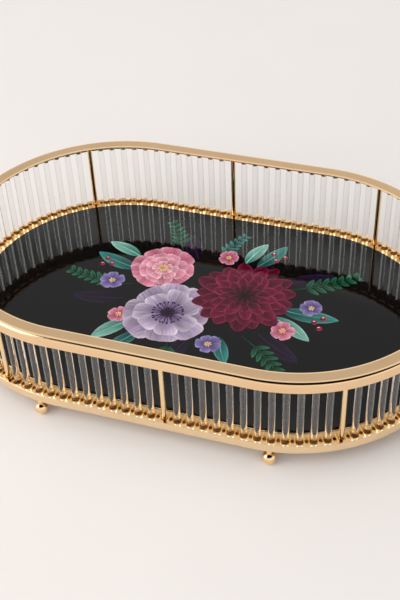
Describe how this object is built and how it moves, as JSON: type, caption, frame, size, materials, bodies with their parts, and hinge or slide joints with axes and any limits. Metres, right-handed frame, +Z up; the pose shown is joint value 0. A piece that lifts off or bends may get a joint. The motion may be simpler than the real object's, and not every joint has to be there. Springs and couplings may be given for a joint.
{
  "type": "serving tray",
  "caption": "Oval tray with a black gloss panel inside a gallery of clear rods and gold posts, under a flat gold rim and on ball feet, for serving or for a dressing table.",
  "frame": {"origin": "on the floor under the middle of the tray", "axes": "+X along the tray's length, to the right seen from the front; -Y to the front; +Z up"},
  "size_m": [0.4082, 0.2628, 0.0838],
  "materials": {
    "black_glass": "high gloss black glass with a floral print",
    "hardboard": "plain brown hardboard",
    "gold_metal": "satin champagne gold plate",
    "gold_strip": "bright deep gold plate",
    "gold_post": "polished gold plate",
    "gold_ball": "mirror polished gold plate",
    "clear_rod": "clear polished rod",
    "steel": "zinc plated steel"
  },
  "bodies": {
    "root": {"base_panel": "black_glass", "backing_board": "hardboard", "lower_ring": "gold_metal", "lower_strip": "gold_strip", "upper_strip": "gold_strip", "top_rim": "gold_metal", "post_1": "gold_post", "post_2": "gold_post", "post_3": "gold_post", "post_4": "gold_post", "post_5": "gold_post", "post_6": "gold_post", "post_7": "gold_post", "post_8": "gold_post", "rod_bay_1": "clear_rod", "rod_bay_2": "clear_rod", "rod_bay_3": "clear_rod", "rod_bay_4": "clear_rod", "rod_bay_5": "clear_rod", "rod_bay_6": "clear_rod", "rod_bay_7": "clear_rod", "rod_bay_8": "clear_rod", "foot_front_left": "gold_ball", "foot_front_right": "gold_ball", "foot_back_right": "gold_ball", "foot_back_left": "gold_ball", "post_screws": "steel"}
  },
  "joints": []
}
